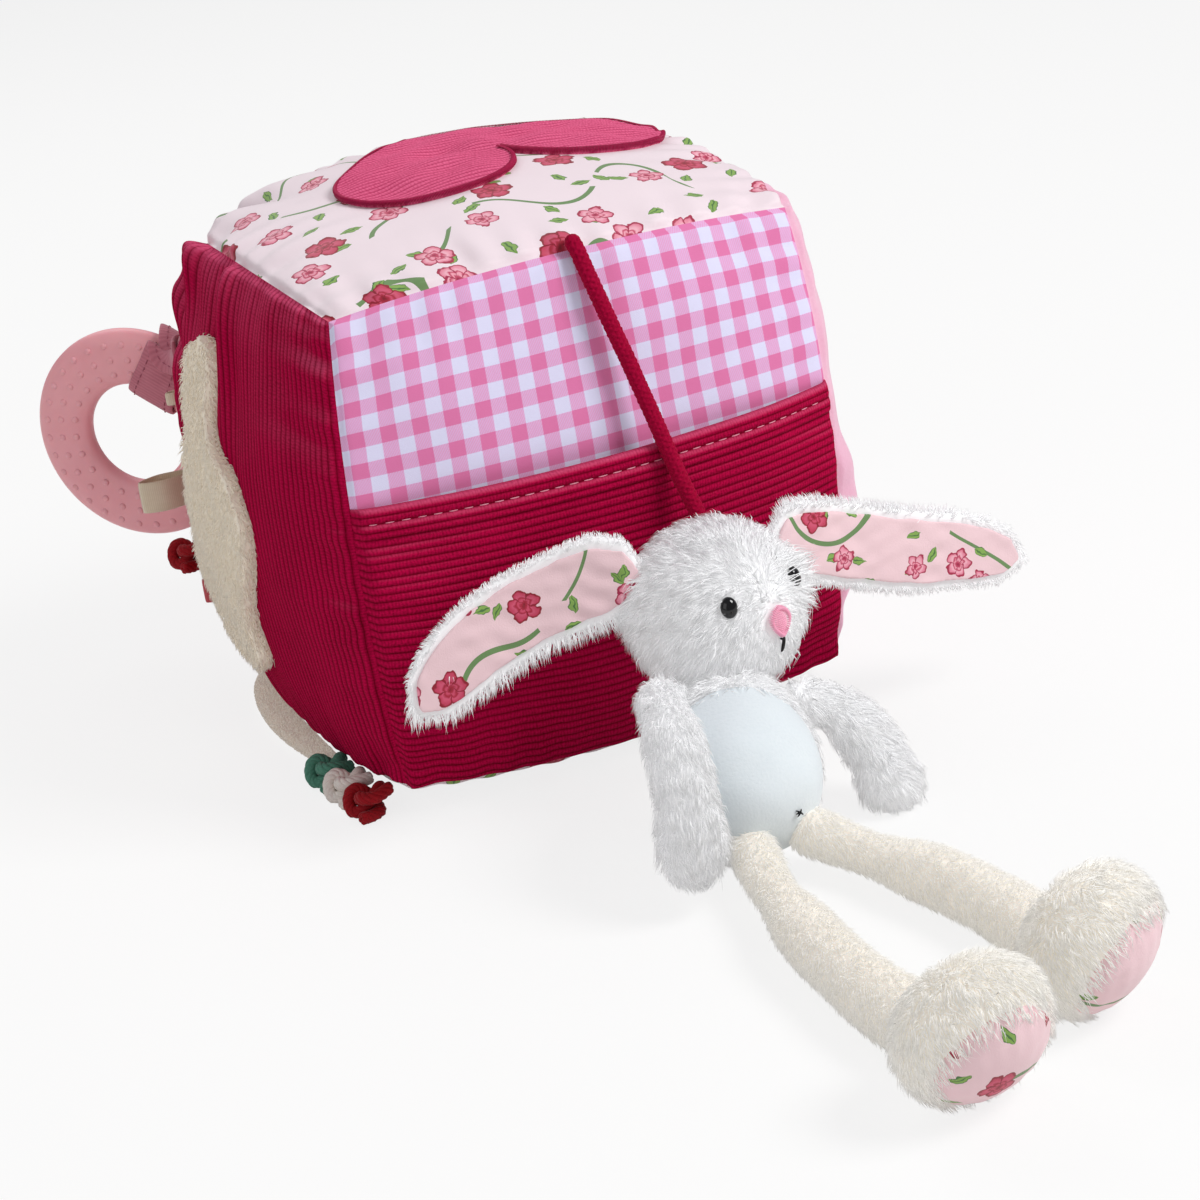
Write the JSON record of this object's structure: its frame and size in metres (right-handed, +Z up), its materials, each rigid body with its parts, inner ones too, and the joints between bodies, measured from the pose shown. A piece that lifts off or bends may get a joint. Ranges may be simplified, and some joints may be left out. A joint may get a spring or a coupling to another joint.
{
  "type": "soft fabric activity block",
  "caption": "Stuffed cloth block with a front pocket, a ring on a strap, ribbon and cord trims in its seams, and a small plush rabbit tied to its top edge by a cord.",
  "frame": {"origin": "centre of the flat on the underside of the block, on the surface that it rests on", "axes": "+Z up; the pocket and the rabbit are on the -Y side; the teether ring is at the -X, +Y corner"},
  "size_m": [0.2253, 0.4308, 0.1632],
  "materials": {
    "filling": "polyester fibre",
    "gingham_cotton": "woven pink and white checks, matt",
    "raspberry_corduroy": "ribbed pile, soft sheen",
    "pink_fleece": "brushed, matt",
    "printed_cotton": "woven, printed with small roses",
    "cream_plush": "short pile",
    "pink_silicone": "soft satin",
    "rose_felt": "matt",
    "cream_satin": "satin",
    "coral_satin": "satin",
    "cream_velour": "short pile",
    "dark_red_cord": "matt",
    "green_cord": "matt",
    "white_cord": "matt",
    "raspberry_cord": "braided",
    "white_plush": "long pile",
    "smooth_white": "smooth knit",
    "black_thread": "matt thread",
    "pink_thread": "satin thread",
    "black_plastic": "gloss"
  },
  "bodies": {
    "block": {"filling": "filling", "front_panel": "gingham_cotton", "back_panel": "raspberry_corduroy", "left_panel": "raspberry_corduroy", "right_panel": "pink_fleece", "top_panel": "printed_cotton", "bottom_panel": "printed_cotton", "front_pocket": "raspberry_corduroy", "heart_patch": "raspberry_corduroy", "rabbit_patch": "cream_plush", "ribbon_end": "cream_satin"},
    "tether": {"tether_cord": "raspberry_cord"},
    "head": {"head": "white_plush", "nose": "pink_thread", "mouth_stitch": "black_thread", "eye_left": "black_plastic", "eye_right": "black_plastic"},
    "torso": {"torso": "white_plush", "belly_panel": "smooth_white", "navel_stitch": "black_thread"},
    "left_ear": {"ear_left": "white_plush", "ear_lining_left": "printed_cotton"},
    "right_ear": {"ear_right": "white_plush", "ear_lining_right": "printed_cotton"},
    "left_arm": {"arm_left": "white_plush"},
    "right_arm": {"arm_right": "white_plush"},
    "left_leg": {"leg_left": "white_plush", "foot_left": "white_plush", "sole_left": "printed_cotton"},
    "right_leg": {"leg_right": "white_plush", "foot_right": "white_plush", "sole_right": "printed_cotton"},
    "ring_strap": {"teether_strap": "rose_felt"},
    "ring": {"teether_ring": "pink_silicone"},
    "cream_loop": {"ribbon_loop": "cream_satin"},
    "coral_tag": {"ribbon_tag": "coral_satin"},
    "flap": {"velour_flap": "cream_velour"},
    "back_knot": {"red_knot_back": "dark_red_cord"},
    "green_knot": {"green_knot": "green_cord"},
    "white_knot": {"white_knot": "white_cord"},
    "red_knot": {"red_knot_front": "dark_red_cord"}
  },
  "joints": [
    {"name": "tether_swing", "type": "hinge", "parent": "block", "child": "tether", "pos_m": [0.0007, -0.0747, 0.1527], "axis": [-1, 0, 0], "range_deg": [0, 150]},
    {"name": "head_tilt", "type": "hinge", "parent": "tether", "child": "head", "pos_m": [0.0175, -0.0963, 0.0763], "axis": [-1, 0, 0], "range_deg": [0, 45]},
    {"name": "neck_bend", "type": "hinge", "parent": "head", "child": "torso", "pos_m": [0.00985, -0.11978, 0.03751], "axis": [1, 0, 0], "range_deg": [0, 45]},
    {"name": "ear_left_flap", "type": "hinge", "parent": "head", "child": "left_ear", "pos_m": [-0.0124, -0.10455, 0.06841], "axis": [0, 1, 0], "range_deg": [-30, 20]},
    {"name": "ear_right_flap", "type": "hinge", "parent": "head", "child": "right_ear", "pos_m": [0.0404, -0.10296, 0.06336], "axis": [0, -1, 0], "range_deg": [-30, 20]},
    {"name": "arm_left_lift", "type": "hinge", "parent": "torso", "child": "left_arm", "pos_m": [-0.01248, -0.1268, 0.0403], "axis": [-1, 0, 0], "range_deg": [-5, 60]},
    {"name": "arm_right_lift", "type": "hinge", "parent": "torso", "child": "right_arm", "pos_m": [0.02399, -0.1338, 0.03216], "axis": [-1, 0, 0], "range_deg": [-10, 60]},
    {"name": "leg_left_lift", "type": "hinge", "parent": "torso", "child": "left_leg", "pos_m": [-0.00928, -0.16557, 0.0106], "axis": [-1, 0, 0], "range_deg": [0, 32]},
    {"name": "leg_right_lift", "type": "hinge", "parent": "torso", "child": "right_leg", "pos_m": [0.00826, -0.16461, 0.01061], "axis": [-1, 0, 0], "range_deg": [0, 32]},
    {"name": "strap_swing", "type": "hinge", "parent": "block", "child": "ring_strap", "pos_m": [-0.073, 0.0733, 0.104], "axis": [0, 0, 1], "range_deg": [0, 55]},
    {"name": "ring_turn", "type": "hinge", "parent": "ring_strap", "child": "ring", "pos_m": [-0.083, 0.1055, 0.0735], "axis": [0.6691, 0.7431, 0], "continuous": true},
    {"name": "loop_flap", "type": "hinge", "parent": "block", "child": "cream_loop", "pos_m": [-0.0733, 0.0733, 0.063], "axis": [0, 0, 1], "range_deg": [-5, 35]},
    {"name": "tag_flap", "type": "hinge", "parent": "block", "child": "coral_tag", "pos_m": [-0.0733, 0.0733, 0.028], "axis": [0, 0, 1], "range_deg": [-10, 35]},
    {"name": "back_knot_swing", "type": "hinge", "parent": "block", "child": "back_knot", "pos_m": [-0.07314, 0.07249, 0.04028], "axis": [0, 0, 1], "range_deg": [-10, 25]},
    {"name": "green_knot_lift", "type": "hinge", "parent": "block", "child": "green_knot", "pos_m": [-0.07336, -0.03429, 0.00529], "axis": [0, 1, 0], "range_deg": [0, 30]},
    {"name": "white_knot_lift", "type": "hinge", "parent": "block", "child": "white_knot", "pos_m": [-0.07236, -0.04747, 0.00629], "axis": [0, 1, 0], "range_deg": [0, 30]},
    {"name": "red_knot_lift", "type": "hinge", "parent": "block", "child": "red_knot", "pos_m": [-0.07095, -0.06046, 0.0077], "axis": [0, 1, 0], "range_deg": [0, 30]},
    {"name": "flap_lift", "type": "hinge", "parent": "block", "child": "flap", "pos_m": [-0.073, 0, 0.0046], "axis": [0, 1, 0], "range_deg": [0, 25]}
  ]
}
